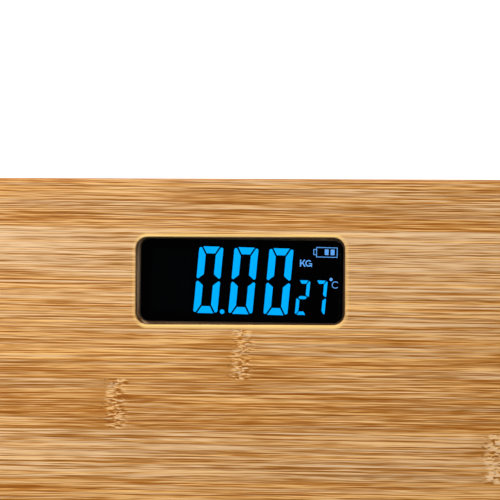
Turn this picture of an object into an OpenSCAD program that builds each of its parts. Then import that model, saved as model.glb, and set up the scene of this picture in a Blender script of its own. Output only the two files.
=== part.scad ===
// Digital bathroom scale: a laminated bamboo platform on four load-cell feet, with a sunken display.
// The origin is on the floor under the platform's centre. +X is right, +Y is towards the display's
// edge of the platform, which is the edge away from the user, and +Z is up. Millimetres.

/* [Platform] */
// Width of the platform, left to right
platform_w = 300; // [260:1:370]
// Depth of the platform, front to back
platform_d = 300; // [260:1:370]
// Thickness of the bamboo board
platform_t = 15; // [14.5:0.5:20]
// Radius of the board's corners seen from above
platform_r = 12; // [6:1:30]
// Radius of the rounding round the board's top edge
edge_r = 1.5; // [0.6:0.1:3]
// Height of the chamfer round the board's lower edge
under_chamfer = 0.6; // [0.3:0.1:1.5]
// Height of the board's underside above the floor
underside_z = 8; // [7.5:0.1:10]

/* [Display window] */
// Width of the opening in the board
window_w = 76.5; // [62:0.5:90]
// Depth of the opening in the board
window_d = 32; // [27:0.5:38]
// Corner radius of the opening
window_r = 4.3; // [2.5:0.1:6]
// Distance from the board's rear edge to the opening
window_inset = 21.5; // [19:0.5:26]
// Chamfer round the mouth of the opening
window_chamfer = 0.3; // [0.2:0.1:1.2]
// Depth of the window's face below the board's top
window_sink = 1.6; // [0.6:0.1:2]
// Thickness of the window
window_t = 2; // [1.5:0.1:2.4]
// Gap between the window and the board in front of it and behind it
window_gap = 0.45; // [0.3:0.05:0.8]
// Gap between the window and the board at the window's two ends
window_end_gap = 0.7; // [0.55:0.05:1]
// Thickness of the foam gasket under the window
gasket_t = 0.4; // [0.3:0.1:0.5]
// How far the window laps over the gasket's inner edge
gasket_band = 1.1; // [0.9:0.1:2]

/* [Display module] */
// Width of the pocket under the board
pocket_w = 112; // [105:1:130]
// Distance from the board's rear edge to the pocket
pocket_inset = 12; // [9:0.5:14]
// Depth of the pocket, front to back
pocket_d = 78; // [77:1:84]
// Bamboo left above the pocket
pocket_skin = 3; // [2.5:0.1:4]
// Gap between the module and the pocket
pocket_gap = 0.3; // [0.2:0.05:0.5]
// Wall of the module's housing
case_wall = 1.5; // [1.2:0.1:2]
// Thickness of the display's glass cell
lcd_t = 2.2; // [1.6:0.1:2.4]
// Thickness of each polariser sheet
polariser_t = 0.2; // [0.15:0.05:0.3]
// Thickness of the backlight plate
light_t = 2.5; // [1.8:0.1:3]
// Thickness of the circuit board
pcb_t = 1.6; // [1:0.2:1.6]
// Thickness of the underside cover's plate
base_t = 2; // [2:0.1:2.4]
// Width of the cover's flange beside the pocket
flange_side = 9; // [8:0.5:12]
// Width of the cover's flange before and behind the pocket
flange_end = 4; // [3:0.5:6]

/* [Batteries] */
// Diameter of an AAA cell
cell_d = 10.5; // [10.2:0.1:10.5]
// Length of an AAA cell with its terminal
cell_len = 44.5; // [44:0.1:44.5]
// Distance between the two cells' axes
cell_pitch = 11.2; // [11:0.1:12]
// Length that a battery spring is pressed to
spring_len = 5.5; // [4.5:0.1:7]
// Thickness of the battery door
door_t = 1.6; // [1.4:0.1:1.8]
// Gap round the battery door
door_gap = 0.3; // [0.2:0.05:0.5]
// Diameter of the door's hinge pins
hinge_pin_d = 1.2; // [1:0.1:1.3]
// Radial running clearance of the hinge pins
hinge_play = 0.05; // [0.03:0.01:0.08]

/* [Feet] */
// Distance from the board's edges to each foot's axis
foot_inset = 38; // [36:1:60]
// Diameter of a foot
foot_d = 36; // [30:0.5:38]
// Width of the foot's rim round its rubber pad
pad_rim = 1.5; // [1:0.1:3]
// Thickness of a rubber pad
pad_t = 2.3; // [1.8:0.1:2.6]
// Depth of the seat that holds the pad
pad_seat = 0.8; // [0.5:0.1:1]
// Largest travel of a foot into its bracket
foot_travel = 0.6; // [0.4:0.05:0.8]
// Side of the square load cell
load_cell_w = 34; // [30:0.5:34.5]
// Thickness of the load cell
load_cell_t = 2.5; // [2:0.1:3]
// Diameter of a bracket's flange
bracket_flange_d = 66; // [64:1:70]
// Diameter of a bracket's cup, which sits in the board
bracket_cup_d = 54; // [53:0.5:56]

/* [Unit button] */
// Diameter of the button
button_d = 8; // [6:0.5:10]
// Gap between the button and its hole
button_gap = 0.2; // [0.15:0.05:0.4]
// Travel of the button
button_travel = 0.3; // [0.2:0.05:0.4]

/* [Wiring and screws] */
// Width of the wiring grooves
groove_w = 6; // [5:0.5:8]
// Thickness of a groove's cover strip
cover_t = 1; // [0.8:0.1:1.5]
// Diameter of a sensor lead over its insulation
lead_d = 0.9; // [0.7:0.05:1]
// Distance between neighbouring leads
lead_pitch = 1.2; // [1.1:0.05:1.5]
// Shank diameter of the cover's screws
base_screw_d = 3; // [2.5:0.1:3.2]
// Length of the cover's screws
base_screw_len = 12; // [8:0.5:12]
// Shank diameter of the brackets' screws
foot_screw_d = 2.6; // [2.2:0.1:2.8]
// Length of the brackets' screws
foot_screw_len = 10; // [8:0.5:11]

/* [Hidden] */
CORNERS = [
    ["front_left", -1, -1], ["front_right", 1, -1],
    ["rear_left", -1, 1], ["rear_right", 1, 1]
];
CORNER_PARTS = [
    "foot_bracket", "load_cell", "strain_gauge", "sensor_leads", "wire_cover", "foot", "foot_pad"
];
$fn = 48;
eps = 0.01;

bamboo = [0.80, 0.60, 0.38];
smoke = [0.02, 0.02, 0.03];
black_plastic = [0.10, 0.10, 0.11];
foam = [0.62, 0.48, 0.34];
rubber = [0.16, 0.16, 0.17];
steel = [0.72, 0.73, 0.75];
board_green = [0.05, 0.30, 0.16];

// heights
top_z = underside_z + platform_t;
base_z = underside_z - base_t;
pocket_z = top_z - pocket_skin;
case_top_z = pocket_z - 0.2;
window_top_z = top_z - window_sink;
window_z = window_top_z - window_t;
gasket_z = window_z - gasket_t;
web_t = 0.6;
lcd_top_z = gasket_z - web_t;
glass_z = lcd_top_z - polariser_t - lcd_t;
light_z = glass_z - polariser_t - light_t;
pcb_z = light_z - pcb_t;
groove_z = underside_z + 7;
lead_z = groove_z - 0.8;
lead_end_z = light_z + lead_d / 2;

// the display
window_y = platform_d / 2 - window_inset - window_d / 2;
lens_w = window_w - 2 * window_end_gap;
lens_d = window_d - 2 * window_gap;
lens_r = window_r - window_gap;
lens_shift = [0.7 * window_end_gap, 0.1 * window_gap];
lens_turn = -atan(0.75 * window_gap / (lens_w / 2));
gasket_play = 0.1;
aperture_w = lens_w - 2 * gasket_band;
aperture_d = lens_d - 2 * gasket_band;
lcd_w = aperture_w + 3;
lcd_d = aperture_d + 7;
rear_glass_d = aperture_d;
light_w = aperture_w - 1;
light_d = aperture_d - 1;
zebra_w = 2.6;
zebra_len = lcd_w - 14;
zebra_y = rear_glass_d / 2 + 0.3 + zebra_w / 2;
bezel_gap = 0.3;
bezel_wall = 1.2;
bezel_front_y = window_y - lcd_d / 2 - bezel_gap - bezel_wall;
led_w = 3;
led_h = 1.2;
led_in = 1;
led_play = 0.2;

// the module
pocket_y = platform_d / 2 - pocket_inset - pocket_d / 2;
pocket_r = 5;
case_w = pocket_w - 2 * pocket_gap;
case_d = pocket_d - 2 * pocket_gap;
case_r = pocket_r - pocket_gap;
case_front_y = pocket_y - case_d / 2;
case_rear_y = pocket_y + case_d / 2;
pcb_w = case_w - 2 * case_wall - 8.4;
pcb_rear_y = case_rear_y - case_wall - 0.7;
pillar_r = 2;
pillar_x = pcb_w / 2 - 3;
pillar_in = 2.5;

// the battery bay
contact_t = 0.4;
contact_h = 8;
contact_reach = 4.2;
bay_w = cell_len + spring_len + 2 * contact_t + 0.2;
bay_d = 2 * cell_d + (cell_pitch - cell_d) + 2.3;
bay_wall = 1.2;
bay_front_y = case_front_y + case_wall + 0.4 + bay_wall;
bay_y = bay_front_y + bay_d / 2;
bay_rear_y = bay_front_y + bay_d;
bay_top_z = case_top_z - 1.4;
pcb_front_y = bay_rear_y + bay_wall + 1.4;
pcb_d = pcb_rear_y - pcb_front_y;
pcb_y = (pcb_front_y + pcb_rear_y) / 2;
cell_z = base_z + door_t + 0.35 + cell_d / 2;
bay_axes = [bay_y - cell_pitch / 2, bay_y + cell_pitch / 2];
spring_wire_r = 0.35;
spring_turns = 4;
tab_w = 3;
tab_out = 2.4;

// the battery door
knuckle_r = 1;
hinge_y = bay_rear_y - door_gap - knuckle_r;
hinge_z = base_z + knuckle_r;
pin_len = 1.5;
latch_w = 8;
latch_h = 2.6;
nib = 0.6;
latch_slot = 0.8;
finger_d = 14;

// the unit button and its switch
button_x = 38;
button_y = pcb_rear_y - 17;
button_sink = 0.2;
button_rim = 1;
button_rim_t = 0.9;
plunger_d = 3.2;
plunger_play = 0.08;
switch_w = 6.2;
switch_z = underside_z + button_rim_t + 0.7;

// the feet
foot_x = platform_w / 2 - foot_inset;
foot_y = platform_d / 2 - foot_inset;
foot_gap = 0.5;
pad_d = foot_d - 2 * pad_rim;
pad_z = pad_t - pad_seat;
foot_flange_d = foot_d + 5;
lip_t = 1.4;
flange_z = base_z + lip_t;
foot_flange_t = 1.6;
cavity_z = flange_z + foot_flange_t + foot_travel + 0.3;
ledge_t = 1.1;
cell_seat_z = cavity_z + ledge_t;
cup_z = cell_seat_z + load_cell_t;
ledge_bore_d = 30;
stem_d = 12;
load_cell_gap = 0.3;
flexure_open = 22;
tongue_w = 13;
tongue_tip = 7;
relief_d = flexure_open;
gauge_t = 0.25;
cup_gap = 0.3;
bracket_edge = 0.6;
foot_screw_ring = (bracket_flange_d + bracket_cup_d) / 4;
foot_screw_angles = [45, 165, 285];

// wiring
front_entry_x = 42;
front_entry_y = pocket_y - pocket_d / 2;
rear_entry_x = pocket_w / 2;
cover_gap = 0.1;
notch_w = groove_w;

// screws
screw_play = 0.05;
base_screw_x = pocket_w / 2 + flange_side / 2;
base_screw_ys = [
    pocket_y - pocket_d / 2 + 5, foot_y - 12, pocket_y + pocket_d / 2 - 4
];
base_head_d = 5.6;
foot_head_d = 4.8;

// where a corner's leads enter the module, and the turn of its bracket, which faces that place
function entry(c) = c[2] < 0
    ? [c[1] * front_entry_x, front_entry_y]
    : [c[1] * rear_entry_x, foot_y];
function lead_turn(c) = let (e = entry(c)) atan2(e[1] - c[2] * foot_y, e[0] - c[1] * foot_x);
function lead_run(c) = norm(entry(c) - [c[1] * foot_x, c[2] * foot_y]);

// ---------- outlines and edges ----------

// Rectangle with round corners, centred
module round_rect(w, d, r) {
    square([w - 2 * r, d], center = true);
    square([w, d - 2 * r], center = true);
    for (sx = [-1, 1], sy = [-1, 1])
        translate([sx * (w / 2 - r), sy * (d / 2 - r)])
            circle(r);
}

// Flat plate with round corners from height z0 to z1
module plate(w, d, r, z0, z1) {
    translate([0, 0, z0])
        linear_extrude(z1 - z0)
            round_rect(w, d, r);
}

// Ring whose section, given as 2D children, follows a round-cornered outline: x outward, y up
module along_edge(w, d, r) {
    for (s = [0, 1])
        mirror([s, 0, 0])
            translate([w / 2, d / 2 - r, 0])
                rotate([90, 0, 0])
                    linear_extrude(d - 2 * r)
                        children();
    for (s = [0, 1])
        mirror([0, s, 0])
            translate([r - w / 2, d / 2, 0])
                rotate([90, 0, 90])
                    linear_extrude(w - 2 * r)
                        children();
    for (a = [0 : 3])
        translate([(a == 0 || a == 3 ? 1 : -1) * (w / 2 - r), (a < 2 ? 1 : -1) * (d / 2 - r), 0])
            rotate([0, 0, 90 * a])
                rotate_extrude(angle = 90)
                    translate([r, 0])
                        children();
}

// What a rounding of radius e takes off an upper edge at height z
module rounding_section(e, z, steps = 4) {
    polygon(concat(
        [for (i = [0 : steps]) [
            e * (sin(90 * i / steps) - 1), z + e * (cos(90 * i / steps) - 1)
        ]],
        [[1, z - e], [1, z + 1], [-e, z + 1]]
    ));
}

// What a chamfer takes off a lower edge at height z
module lower_chamfer_section(c, z) {
    polygon([[-c, z], [0, z + c], [1, z + c], [1, z - 1], [-c, z - 1]]);
}

// What a chamfer takes off the mouth of an opening whose rim is at height z
module mouth_section(c, z) {
    polygon([[-1, z - c], [0, z - c], [c, z], [c, z + 1], [-1, z + 1]]);
}

// Countersunk screw, point up, with its head's face at z = 0; grow widens it for a hole
module countersunk(d, head_d, len, grow = 0) {
    head_h = (head_d - d) / 2;
    rotate_extrude()
        polygon([
            [0, 0], [head_d / 2 + grow, 0], [head_d / 2 + grow, 0.3], [d / 2 + grow, 0.3 + head_h],
            [d / 2 + grow, len - (grow > 0 ? 0 : d / 2)], [grow > 0 ? d / 2 + grow : 0, len + grow],
            [0, len + grow]
        ]);
}

// Cross recess in a screw's head
module cross_recess(size) {
    for (a = [0, 90])
        rotate([0, 0, a])
            translate([-size / 2, -size / 10, -eps])
                cube([size, size / 5, 0.9]);
}

module screw(d, head_d, len) {
    difference() {
        countersunk(d, head_d, len);
        cross_recess(head_d * 0.55);
    }
}

// ---------- swept tubes ----------

function unit(v) = v / norm(v);

// Direction of a path at point i, halfway between the stretches that meet there
function heading(path, i) = unit(
    (i == 0 ? [0, 0, 0] : unit(path[i] - path[i - 1]))
    + (i == len(path) - 1 ? [0, 0, 0] : unit(path[i + 1] - path[i]))
);

// Tube of radius r along a path, moved sideways by shift
module tube(path, r, shift = 0, sides = 8, up = [0, 0, 1]) {
    n = len(path);
    rings = [for (i = [0 : n - 1])
        let (
            t = heading(path, i),
            across = unit(cross(t, up)),
            above = cross(across, t)
        )
        for (k = [0 : sides - 1])
            let (a = 360 * (k + 0.5) / sides)
            path[i] + across * (shift + r * cos(a)) + above * (r * sin(a))
    ];
    walls = [for (i = [0 : n - 2], k = [0 : sides - 1])
        let (m = (k + 1) % sides)
        each [
            [i * sides + k, i * sides + m, (i + 1) * sides + m],
            [i * sides + k, (i + 1) * sides + m, (i + 1) * sides + k]
        ]
    ];
    first = [for (k = [sides - 1 : -1 : 0]) k];
    last = [for (k = [0 : sides - 1]) (n - 1) * sides + k];
    polyhedron(rings, concat(walls, [first, last]), convexity = 6);
}

// ---------- platform ----------

module platform() {
    color(bamboo)
    difference() {
        plate(platform_w, platform_d, platform_r, underside_z, top_z);
        along_edge(platform_w, platform_d, platform_r) rounding_section(edge_r, top_z);
        along_edge(platform_w, platform_d, platform_r)
            lower_chamfer_section(under_chamfer, underside_z);
        translate([0, window_y, 0]) {
            plate(window_w, window_d, window_r, underside_z, top_z + 1);
            along_edge(window_w, window_d, window_r) mouth_section(window_chamfer, top_z);
        }
        translate([0, pocket_y, 0]) plate(pocket_w, pocket_d, pocket_r, underside_z - 1, pocket_z);
        for (c = CORNERS)
            at_foot(c) {
                translate([0, 0, underside_z - 1])
                    cylinder(h = cup_z - underside_z + 1, d = bracket_cup_d + 2 * cup_gap);
                cylinder(h = groove_z, d = relief_d);
                translate([0, -groove_w / 2, 0])
                    cube([lead_run(c) + 1 + (c[2] < 0 ? groove_w / 2 : 0), groove_w, groove_z]);
                foot_screw_places()
                    countersunk(foot_screw_d, foot_head_d, foot_screw_len + 0.5, screw_play);
            }
        base_screw_places()
            countersunk(base_screw_d, base_head_d, base_screw_len + 0.5, screw_play);
    }
}

// ---------- display stack ----------

// The window is glued in by hand, so it lies a little turned and off the middle of its opening
module display_window() {
    edge = 0.4;
    color(smoke)
    translate([lens_shift[0], window_y + lens_shift[1], 0])
        rotate([0, 0, lens_turn])
            difference() {
                plate(lens_w, lens_d, lens_r, window_z, window_top_z);
                along_edge(lens_w, lens_d, lens_r)
                    polygon([
                        [-edge, window_top_z], [0, window_top_z - edge], [1, window_top_z - edge],
                        [1, window_top_z + 1], [-edge, window_top_z + 1]
                    ]);
            }
}

module window_gasket() {
    color(foam)
    translate([0, window_y, 0])
        difference() {
            plate(
                window_w - 2 * gasket_play, window_d - 2 * gasket_play, window_r - gasket_play,
                gasket_z, window_z
            );
            plate(aperture_w, aperture_d, lens_r - gasket_band, gasket_z - 1, window_z + 1);
        }
}

module block(w, d, z0, z1) {
    translate([-w / 2, -d / 2, z0]) cube([w, d, z1 - z0]);
}

module lcd_glass() {
    color([0.62, 0.68, 0.70])
    translate([0, window_y, 0]) {
        block(lcd_w, lcd_d, glass_z + lcd_t / 2, glass_z + lcd_t);
        block(lcd_w, rear_glass_d, glass_z, glass_z + lcd_t / 2);
    }
}

module lcd_polarisers() {
    color([0.10, 0.10, 0.12])
    translate([0, window_y, 0]) {
        block(lcd_w - 1, lcd_d - 1, glass_z + lcd_t, lcd_top_z);
        block(lcd_w - 1, rear_glass_d - 1, glass_z - polariser_t, glass_z);
    }
}

module light_guide() {
    color([0.90, 0.93, 0.96])
    translate([0, window_y, 0])
        difference() {
            block(light_w, light_d, light_z, light_z + light_t);
            for (s = [-1, 1])
                translate([s * light_w / 2, 0, light_z])
                    cube([2 * led_in, led_w + 2 * led_play, 2 * led_h], center = true);
        }
}

module backlight_leds() {
    color([0.95, 0.93, 0.80])
    for (s = [-1, 1])
        translate([s * (light_w / 2 - led_in / 2 + 0.15), window_y, 0])
            block(led_in - led_play, led_w, light_z, light_z + led_h - led_play / 2);
}

module zebra_strip(side) {
    color([0.30, 0.31, 0.33])
    translate([0, window_y + side * zebra_y, 0])
        block(zebra_len, zebra_w, light_z, glass_z + lcd_t / 2);
}

// ---------- circuit board ----------

module pillar_places() {
    for (sx = [-1, 1], y = [pcb_front_y + pillar_in, pcb_rear_y - pillar_in])
        translate([sx * pillar_x, y, 0])
            children();
}

module main_pcb() {
    color(board_green)
    translate([0, pcb_y, 0])
        plate(pcb_w, pcb_d, 1, pcb_z, light_z);
}

module controller_chip() {
    body = 9;
    legs = 11;
    color([0.12, 0.12, 0.13])
    translate([-6, window_y, 0]) {
        block(body, body, pcb_z - 1.3, pcb_z - 0.1);
        for (i = [-3.2 : 1.6 : 3.2], a = [0, 90])
            rotate([0, 0, a])
                translate([i, 0, 0])
                    block(0.6, legs, pcb_z - 0.4, pcb_z);
    }
}

module pcb_parts() {
    color([0.55, 0.45, 0.35]) {
        // timing crystal, a can lying on the board
        translate([11, window_y + 4, pcb_z - 1.1])
            rotate([0, 90, 0])
                cylinder(h = 6, r = 1.1);
        // resistors and capacitors in two rows
        for (i = [0 : 5], s = [-1, 1])
            translate([-24 + 4 * i, window_y + s * 14, 0])
                block(1.2, 2, pcb_z - 0.7, pcb_z);
        // tantalum capacitor at the battery input
        translate([-30, window_y, 0]) block(3.5, 2.8, pcb_z - 1.9, pcb_z);
    }
}

// ---------- unit button ----------

module tact_switch() {
    color([0.20, 0.20, 0.22])
    translate([button_x, button_y, 0])
        difference() {
            block(switch_w, switch_w, switch_z, pcb_z);
            translate([0, 0, switch_z - 1])
                cylinder(h = 1 + 0.5 + button_travel + 0.2, d = plunger_d + 2 * plunger_play);
        }
}

module switch_plunger() {
    color([0.85, 0.85, 0.82])
    translate([button_x, button_y, underside_z + button_rim_t])
        cylinder(h = switch_z - underside_z - button_rim_t + 0.5, d = plunger_d);
}

module unit_button() {
    face_z = base_z + button_sink;
    dish = 0.3;
    color([0.75, 0.75, 0.77])
    translate([button_x, button_y, 0])
        rotate_extrude()
            polygon([
                [0, face_z + dish], [button_d / 2 - 1.2, face_z + dish], [button_d / 2 - 0.8, face_z],
                [button_d / 2 - 0.2, face_z], [button_d / 2, face_z + 0.2],
                [button_d / 2, underside_z], [button_d / 2 + button_rim, underside_z],
                [button_d / 2 + button_rim, underside_z + button_rim_t],
                [0, underside_z + button_rim_t]
            ]);
}

// ---------- module housing ----------

module module_case() {
    bezel_w = lcd_w + 2 * bezel_gap;
    bezel_d = lcd_d + 2 * bezel_gap;
    color(black_plastic)
    difference() {
        union() {
            difference() {
                translate([0, pocket_y, 0])
                    plate(case_w, case_d, case_r, underside_z, case_top_z);
                translate([0, pocket_y, 0])
                    plate(
                        case_w - 2 * case_wall, case_d - 2 * case_wall, case_r - case_wall,
                        underside_z - 1, lcd_top_z
                    );
            }
            // frame round the display's glass
            translate([0, window_y, 0])
                difference() {
                    block(bezel_w + 2 * bezel_wall, bezel_d + 2 * bezel_wall, light_z, lcd_top_z + eps);
                    block(bezel_w, bezel_d, light_z - 1, lcd_top_z);
                }
            pillar_places()
                translate([0, 0, light_z])
                    cylinder(h = lcd_top_z - light_z + eps, r = pillar_r);
        }
        // seat of the window and its gasket, and the display's aperture
        translate([0, window_y, 0]) {
            plate(window_w, window_d, window_r, gasket_z, case_top_z + 1);
            plate(aperture_w, aperture_d, lens_r - gasket_band, underside_z, case_top_z + 1);
        }
        // room for the battery bay under the roof
        translate([0, bay_y, 0])
            block(bay_w + 2 * bay_wall + 1, bay_d + 2 * bay_wall + 1, underside_z - 1, case_top_z - 1);
        // notches for the leads
        for (c = CORNERS)
            lead_notch(c);
    }
}

module lead_notch(c) {
    e = entry(c);
    along_x = c[2] > 0;
    translate([e[0], e[1], 0])
        block(along_x ? 8 : notch_w, along_x ? notch_w : 8, underside_z - 1, groove_z);
}

module base_screw_places() {
    for (sx = [-1, 1], y = base_screw_ys)
        translate([sx * base_screw_x, y, base_z])
            children();
}

module module_base() {
    base_w = pocket_w + 2 * flange_side;
    base_d = pocket_d + 2 * flange_end;
    color(black_plastic)
    difference() {
        union() {
            difference() {
                translate([0, pocket_y, 0]) plate(base_w, base_d, 6, base_z, underside_z);
                translate([0, pocket_y, 0])
                    along_edge(base_w, base_d, 6) lower_chamfer_section(0.6, base_z);
            }
            // walls of the battery bay
            translate([0, bay_y, 0])
                block(bay_w + 2 * bay_wall, bay_d + 2 * bay_wall, base_z + eps, bay_top_z);
            // posts under the circuit board
            pillar_places()
                translate([0, 0, base_z + eps])
                    cylinder(h = pcb_z - base_z - eps, r = pillar_r);
        }
        translate([0, bay_y, 0]) block(bay_w, bay_d, base_z - 1, bay_top_z + 1);
        // slots for the contacts' solder tabs
        for (y = bay_axes)
            translate([-bay_w / 2 - bay_wall - 1, y - tab_w / 2 - 0.1, cell_z - 1.1])
                cube([bay_wall + 1 + eps, tab_w + 0.2, 20]);
        // hinge sockets, and the latch's slot in the front wall
        translate([-bay_w / 2 - pin_len - 0.1, hinge_y, hinge_z])
            rotate([0, 90, 0])
                cylinder(h = bay_w + 2 * pin_len + 0.2, d = hinge_pin_d + 2 * hinge_play);
        translate([0, bay_front_y, 0])
            block(latch_w + 0.8, 2 * latch_slot, base_z - 1, base_z + door_t + latch_h + 0.6);
        // finger notch at the door's front edge
        translate([0, bay_front_y - latch_slot, base_z - 1])
            cylinder(h = 1 + 0.9, d = finger_d);
        translate([button_x, button_y, base_z - 1])
            cylinder(h = base_t + 2, d = button_d + 2 * button_gap);
        base_screw_places() countersunk(base_screw_d, base_head_d, base_screw_len, screw_play);
    }
}

module battery_door() {
    door_w = bay_w - 2 * door_gap;
    front_y = bay_front_y + door_gap;
    color(black_plastic)
    difference() {
        union() {
            translate([-door_w / 2, front_y, base_z]) cube([door_w, hinge_y - front_y, door_t]);
            translate([-door_w / 2, hinge_y, hinge_z])
                rotate([0, 90, 0])
                    cylinder(h = door_w, r = knuckle_r);
            translate([-bay_w / 2 - pin_len + 0.1, hinge_y, hinge_z])
                rotate([0, 90, 0])
                    cylinder(h = bay_w + 2 * pin_len - 0.2, d = hinge_pin_d);
            // latch tongue with its nib
            translate([-latch_w / 2, front_y, base_z + eps])
                cube([latch_w, 1, door_t + latch_h - eps]);
            translate([-latch_w / 2, front_y - nib, base_z + door_t + 1.2])
                cube([latch_w, nib + eps, 0.8]);
        }
        // finger groove across the door's outer face
        for (i = [0 : 2])
            translate([-9, front_y + 3 + 2 * i, base_z - 1])
                cube([18, 1, 1.4]);
    }
}

// ---------- batteries and contacts ----------

// AAA cell along +X from its flat end, on its axis
module aaa_cell() {
    nub_d = 3.6;
    nub_h = 1;
    rotate([0, 90, 0])
        rotate_extrude()
            polygon([
                [0, 0], [cell_d / 2 - 0.8, 0], [cell_d / 2 - 0.8, 0.3], [cell_d / 2 - 0.3, 0.3],
                [cell_d / 2, 0.6], [cell_d / 2, cell_len - nub_h - 0.6],
                [cell_d / 2 - 0.3, cell_len - nub_h - 0.3], [cell_d / 2 - 0.8, cell_len - nub_h - 0.3],
                [cell_d / 2 - 0.8, cell_len - nub_h], [nub_d / 2, cell_len - nub_h],
                [nub_d / 2, cell_len], [0, cell_len]
            ]);
}

// cell a has its flat end on the left, on a spring, and cell b is turned round
module battery_a() {
    color([0.16, 0.36, 0.62])
    translate([-bay_w / 2 + contact_t + spring_len, bay_axes[0], cell_z])
        aaa_cell();
}

module battery_b() {
    color([0.16, 0.36, 0.62])
    translate([bay_w / 2 - contact_t - spring_len, bay_axes[1], cell_z])
        mirror([1, 0, 0])
            aaa_cell();
}

// Conical battery spring along +X, from its plate to the cell
module battery_spring() {
    steps = 14 * spring_turns;
    wide = 3.6;
    slim = 1.9;
    span = spring_len - 2 * spring_wire_r;
    path = [for (i = [0 : steps])
        let (f = i / steps, a = 360 * spring_turns * f, r = wide + (slim - wide) * f)
        [spring_wire_r + span * f, r * cos(a), r * sin(a)]
    ];
    tube(path, spring_wire_r, sides = 6, up = [1, 0, 0]);
}

// Sheet contact across one cell's end, against the bay's wall
module contact_sheet(y0, y1) {
    translate([0, y0, cell_z - contact_h / 2])
        cube([contact_t, y1 - y0, contact_h]);
}

module solder_tab(y) {
    translate([-bay_w / 2 - bay_wall - tab_out, y - tab_w / 2, cell_z - 1])
        cube([bay_wall + tab_out + eps, tab_w, contact_t]);
}

module contact_spring_left() {
    color(steel) {
        translate([-bay_w / 2, 0, 0]) contact_sheet(bay_axes[0] - contact_reach, bay_axes[0] + contact_reach);
        solder_tab(bay_axes[0]);
        translate([-bay_w / 2 + contact_t - spring_wire_r / 2, bay_axes[0], cell_z])
            battery_spring();
    }
}

module contact_plate_left() {
    color(steel) {
        translate([-bay_w / 2, 0, 0]) contact_sheet(bay_axes[1] - contact_reach, bay_axes[1] + contact_reach);
        solder_tab(bay_axes[1]);
    }
}

module contact_bridge() {
    color(steel)
    translate([bay_w / 2, 0, 0])
        mirror([1, 0, 0]) {
            contact_sheet(bay_axes[0] - contact_reach, bay_axes[1] + contact_reach);
            translate([contact_t - spring_wire_r / 2, bay_axes[1], cell_z]) battery_spring();
        }
}

module battery_leads() {
    tab_x = -bay_w / 2 - bay_wall - tab_out / 2;
    color([0.75, 0.10, 0.08])
    for (i = [0, 1])
        let (x = tab_x - 3.5 - 2.5 * (1 - i), y = bay_axes[i], z = cell_z - 1 + contact_t + lead_d / 2)
        tube([
            [tab_x + 0.9, y, z], [tab_x - 1.2, y, z], [x + 0.8, y + 0.4, z + 0.1],
            [x, y + 1.6, z + 0.2], [x, pcb_front_y - 1.2, lead_end_z],
            [x, bezel_front_y - 0.4, lead_end_z]
        ], lead_d / 2);
}

// ---------- screws ----------

module base_screws() {
    color(steel)
    base_screw_places() screw(base_screw_d, base_head_d, base_screw_len);
}

module foot_screw_places() {
    for (a = foot_screw_angles)
        rotate([0, 0, a])
            translate([foot_screw_ring, 0, base_z])
                children();
}

module foot_screws() {
    color(steel)
    for (c = CORNERS)
        at_foot(c)
            foot_screw_places()
                screw(foot_screw_d, foot_head_d, foot_screw_len);
}

// ---------- feet ----------

// Puts children on a corner's foot axis, with +X towards the place where its leads enter the module
module at_foot(c) {
    translate([c[1] * foot_x, c[2] * foot_y, 0])
        rotate([0, 0, lead_turn(c)])
            children();
}

module foot_bracket(c) {
    color(black_plastic)
    at_foot(c)
        difference() {
            rotate_extrude()
                polygon([
                    [foot_d / 2 + foot_gap, base_z], [bracket_flange_d / 2 - bracket_edge, base_z],
                    [bracket_flange_d / 2, base_z + bracket_edge], [bracket_flange_d / 2, underside_z],
                    [bracket_cup_d / 2, underside_z], [bracket_cup_d / 2, cup_z],
                    [ledge_bore_d / 2, cup_z], [ledge_bore_d / 2, cavity_z],
                    [foot_flange_d / 2 + foot_gap, cavity_z],
                    [foot_flange_d / 2 + foot_gap, flange_z],
                    [foot_d / 2 + foot_gap, flange_z]
                ]);
            block(
                load_cell_w + 2 * load_cell_gap, load_cell_w + 2 * load_cell_gap,
                cell_seat_z, cup_z + 1
            );
            foot_screw_places() countersunk(foot_screw_d, foot_head_d, foot_screw_len, screw_play);
        }
}

// Steel plate with a tongue in the middle: the rim is held, and the foot's stem bends the tongue
module load_cell(c) {
    color(steel)
    at_foot(c) {
        difference() {
            block(load_cell_w, load_cell_w, cell_seat_z, cup_z);
            block(flexure_open, flexure_open, cell_seat_z - 1, cup_z + 1);
        }
        translate([-tongue_tip, -tongue_w / 2, cell_seat_z])
            cube([tongue_tip + flexure_open / 2 + eps, tongue_w, load_cell_t]);
    }
}

module strain_gauge(c) {
    color([0.72, 0.45, 0.20])
    at_foot(c)
        translate([flexure_open / 2 - 3, -2.6, cup_z])
            cube([5.2, 5.2, gauge_t]);
}

// Three leads from the strain gauge, through the groove, to the circuit board
module sensor_leads(c) {
    start = [c[1] * foot_x, c[2] * foot_y];
    e = entry(c);
    way = unit(e - start);
    gauge_z = cup_z + gauge_t + lead_d / 2;
    solder = c[2] < 0 ? [0, 1] : [-c[1], 0];
    board_edge = c[2] < 0
        ? [e[0], pcb_front_y]
        : [c[1] * pcb_w / 2, e[1]];
    g0 = start + way * (flexure_open / 2 + 1);
    g1 = start + way * (flexure_open / 2 + 4);
    g2 = start + way * (load_cell_w / 2 + 3);
    d0 = e - way * 6;
    d1 = e + solder * 2.5;
    b0 = board_edge - solder * 1.2;
    b1 = board_edge + solder * 4;
    color([0.60, 0.12, 0.10])
    for (i = [-1 : 1])
        tube([
            [g0[0], g0[1], gauge_z], [g1[0], g1[1], gauge_z], [g2[0], g2[1], lead_z],
            [d0[0], d0[1], lead_z], [e[0], e[1], lead_z], [d1[0], d1[1], lead_z],
            [b0[0], b0[1], lead_end_z], [b1[0], b1[1], lead_end_z]
        ], lead_d / 2, lead_pitch * i);
}

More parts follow.
